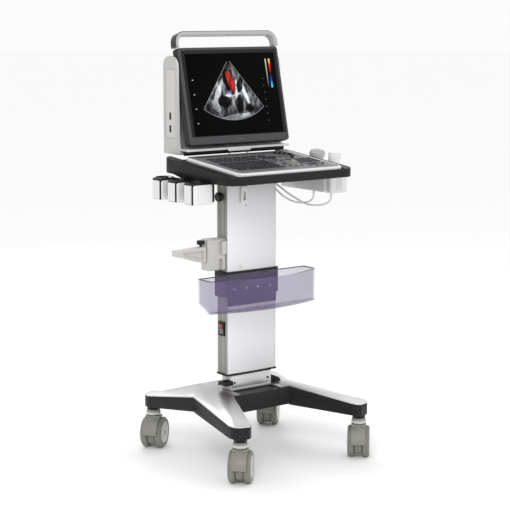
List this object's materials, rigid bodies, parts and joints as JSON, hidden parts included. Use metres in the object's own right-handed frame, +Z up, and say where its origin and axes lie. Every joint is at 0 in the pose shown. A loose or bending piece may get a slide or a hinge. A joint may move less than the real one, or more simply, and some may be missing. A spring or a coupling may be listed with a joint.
{
  "type": "ultrasound machine",
  "caption": "Portable ultrasound scanner with tilting screen, control keyboard and probes on a height-adjustable wheeled trolley with basket.",
  "frame": {"origin": "on the floor under the middle of the wheelbase", "axes": "+Z up, -Y towards the operator, +X to the operator's right"},
  "size_m": [0.5324, 0.5227, 1.1823],
  "materials": {
    "black_plastic": "satin black moulded cover over an aluminium casting",
    "tray_plastic": "fine textured black moulding",
    "deep_black": "black plastic",
    "silver_paint": "glossy silver paint",
    "sleeve_paint": "satin silver-white aluminium",
    "white_plastic": "satin white",
    "grey_plastic": "light grey",
    "steel": "anodised extrusion",
    "tyre_grey": "grey polyurethane",
    "violet_acrylic": "clear violet acrylic",
    "screen_glass": "anti-glare display glass",
    "bezel_grey": "dark grey",
    "panel_grey": "grey control panel",
    "key_grey": "dark keys",
    "cable_grey": "light grey cable jacket",
    "probe_grey": "grey probe housing",
    "rocker_red": "red rocker"
  },
  "bodies": {
    "base": {"base_frame": "black_plastic", "base_top_cover": "silver_paint", "column_foot": "white_plastic", "foot_gusset": "deep_black", "inner_mast": "steel"},
    "pedal": {"release_pedal": "deep_black"},
    "caster_front_left": {"caster_horn_front_left": "grey_plastic"},
    "wheel_front_left_left": {"caster_wheel_front_left_left": "tyre_grey"},
    "wheel_front_left_right": {"caster_wheel_front_left_right": "tyre_grey"},
    "caster_front_right": {"caster_horn_front_right": "grey_plastic"},
    "wheel_front_right_left": {"caster_wheel_front_right_left": "tyre_grey"},
    "wheel_front_right_right": {"caster_wheel_front_right_right": "tyre_grey"},
    "caster_rear_left": {"caster_horn_rear_left": "grey_plastic"},
    "wheel_rear_left_left": {"caster_wheel_rear_left_left": "tyre_grey"},
    "wheel_rear_left_right": {"caster_wheel_rear_left_right": "tyre_grey"},
    "caster_rear_right": {"caster_horn_rear_right": "grey_plastic"},
    "wheel_rear_right_left": {"caster_wheel_rear_right_left": "tyre_grey"},
    "wheel_rear_right_right": {"caster_wheel_rear_right_right": "tyre_grey"},
    "column": {"column_sleeve": "sleeve_paint", "sleeve_wiper": "deep_black", "power_inlet": "deep_black", "cable_tab": "white_plastic", "basket": "violet_acrylic", "basket_bracket": "deep_black", "clamp_body": "white_plastic", "tray": "tray_plastic", "cable_hook": "deep_black", "holder_left": "deep_black", "holder_right": "deep_black", "cup_cover_left_1": "white_plastic", "cup_cover_left_2": "white_plastic", "cup_cover_left_3": "white_plastic", "cup_cover_right_1": "white_plastic", "cup_cover_right_2": "white_plastic", "cup_cover_right_3": "white_plastic", "main_casing": "white_plastic", "hinge_barrel": "deep_black", "probe_linear": "white_plastic", "probe_convex": "probe_grey", "strain_relief_linear": "cable_grey", "strain_relief_convex": "cable_grey", "probe_cable_linear": "cable_grey", "probe_cable_convex": "cable_grey", "connector_linear": "grey_plastic", "connector_convex": "grey_plastic"},
    "lock_knob": {"lock_knob": "deep_black"},
    "power_rocker": {"power_rocker": "rocker_red"},
    "clamp_lever": {"clamp_lever": "white_plastic"},
    "side_arm": {"side_arm": "white_plastic", "side_arm_knob": "deep_black"},
    "display": {"display_shell": "deep_black", "display_bezel": "bezel_grey", "lcd_panel": "screen_glass", "carry_handle": "grey_plastic"},
    "keyboard": {"keyboard_base": "white_plastic", "key_panel": "panel_grey", "letter_keys": "key_grey"},
    "trackball": {"trackball": "grey_plastic"},
    "gain_knob": {"gain_knob": "silver_paint"},
    "freeze_button": {"freeze_button": "key_grey"}
  },
  "joints": [
    {"name": "swivel_front_left", "type": "hinge", "parent": "base", "child": "caster_front_left", "pos_m": [-0.205, -0.211, 0.1], "axis": [0, 0, 1], "continuous": true},
    {"name": "roll_front_left_left", "type": "hinge", "parent": "caster_front_left", "child": "wheel_front_left_left", "pos_m": [-0.21419, -0.19101, 0.044], "axis": [0.7193, -0.6947, 0], "continuous": true},
    {"name": "roll_front_left_right", "type": "hinge", "parent": "caster_front_left", "child": "wheel_front_left_right", "pos_m": [-0.1847, -0.21949, 0.044], "axis": [0.7193, -0.6947, 0], "continuous": true},
    {"name": "swivel_front_right", "type": "hinge", "parent": "base", "child": "caster_front_right", "pos_m": [0.205, -0.211, 0.1], "axis": [0, 0, 1], "continuous": true},
    {"name": "roll_front_right_left", "type": "hinge", "parent": "caster_front_right", "child": "wheel_front_right_left", "pos_m": [0.19512, -0.19134, 0.044], "axis": [0.7431, -0.6691, 0], "continuous": true},
    {"name": "roll_front_right_right", "type": "hinge", "parent": "caster_front_right", "child": "wheel_front_right_right", "pos_m": [0.22559, -0.21877, 0.044], "axis": [0.7431, -0.6691, 0], "continuous": true},
    {"name": "swivel_rear_left", "type": "hinge", "parent": "base", "child": "caster_rear_left", "pos_m": [-0.205, 0.211, 0.1], "axis": [0, 0, 1], "continuous": true},
    {"name": "roll_rear_left_left", "type": "hinge", "parent": "caster_rear_left", "child": "wheel_rear_left_left", "pos_m": [-0.21132, 0.23208, 0.044], "axis": [0.6157, -0.788, 0], "continuous": true},
    {"name": "roll_rear_left_right", "type": "hinge", "parent": "caster_rear_left", "child": "wheel_rear_left_right", "pos_m": [-0.18607, 0.19977, 0.044], "axis": [0.6157, -0.788, 0], "continuous": true},
    {"name": "swivel_rear_right", "type": "hinge", "parent": "base", "child": "caster_rear_right", "pos_m": [0.205, 0.211, 0.1], "axis": [0, 0, 1], "continuous": true},
    {"name": "roll_rear_right_left", "type": "hinge", "parent": "caster_rear_right", "child": "wheel_rear_right_left", "pos_m": [0.19581, 0.231, 0.044], "axis": [0.7193, -0.6947, 0], "continuous": true},
    {"name": "roll_rear_right_right", "type": "hinge", "parent": "caster_rear_right", "child": "wheel_rear_right_right", "pos_m": [0.2253, 0.20251, 0.044], "axis": [0.7193, -0.6947, 0], "continuous": true},
    {"name": "column_lift", "type": "slide", "parent": "base", "child": "column", "axis": [0, 0, 1], "range_m": [0, 0.25]},
    {"name": "pedal_press", "type": "hinge", "parent": "base", "child": "pedal", "pos_m": [-0.08, 0.046, 0.203], "axis": [1, 0, 0], "range_deg": [0, 9], "stiffness_Nm_per_rad": 3},
    {"name": "lock_knob_turn", "type": "hinge", "parent": "column", "child": "lock_knob", "pos_m": [-0.09, 0.039, 0.732], "axis": [1, 0, 0], "continuous": true},
    {"name": "power_rocker_tip", "type": "hinge", "parent": "column", "child": "power_rocker", "pos_m": [-0.0885, 0.04, 0.3695], "axis": [0, 1, 0], "range_deg": [-8, 8]},
    {"name": "clamp_lever_open", "type": "hinge", "parent": "column", "child": "clamp_lever", "pos_m": [-0.096, 0.0145, 0.5795], "axis": [1, 0, 0], "range_deg": [0, 70]},
    {"name": "side_arm_swing", "type": "hinge", "parent": "column", "child": "side_arm", "pos_m": [-0.162, 0.031, 0.58], "axis": [0, 0, 1], "range_deg": [-60, 60]},
    {"name": "display_tilt", "type": "hinge", "parent": "column", "child": "display", "pos_m": [0, 0.128, 1.105], "axis": [1, 0, 0], "range_deg": [-8, 13]},
    {"name": "keyboard_fold", "type": "hinge", "parent": "column", "child": "keyboard", "pos_m": [0, 0.0955, 0.8505], "axis": [1, 0, 0], "range_deg": [-18, 0]},
    {"name": "trackball_spin", "type": "hinge", "parent": "keyboard", "child": "trackball", "pos_m": [0.052, -0.10248, 0.82632], "axis": [1, 0, 0], "continuous": true},
    {"name": "gain_knob_turn", "type": "hinge", "parent": "keyboard", "child": "gain_knob", "pos_m": [0.052, -0.04063, 0.83088], "axis": [0, -0.0976, 0.9952], "continuous": true},
    {"name": "freeze_button_press", "type": "slide", "parent": "keyboard", "child": "freeze_button", "axis": [0, -0.0976, 0.9952], "range_m": [-0.0012, 0], "stiffness_N_per_m": 400}
  ]
}
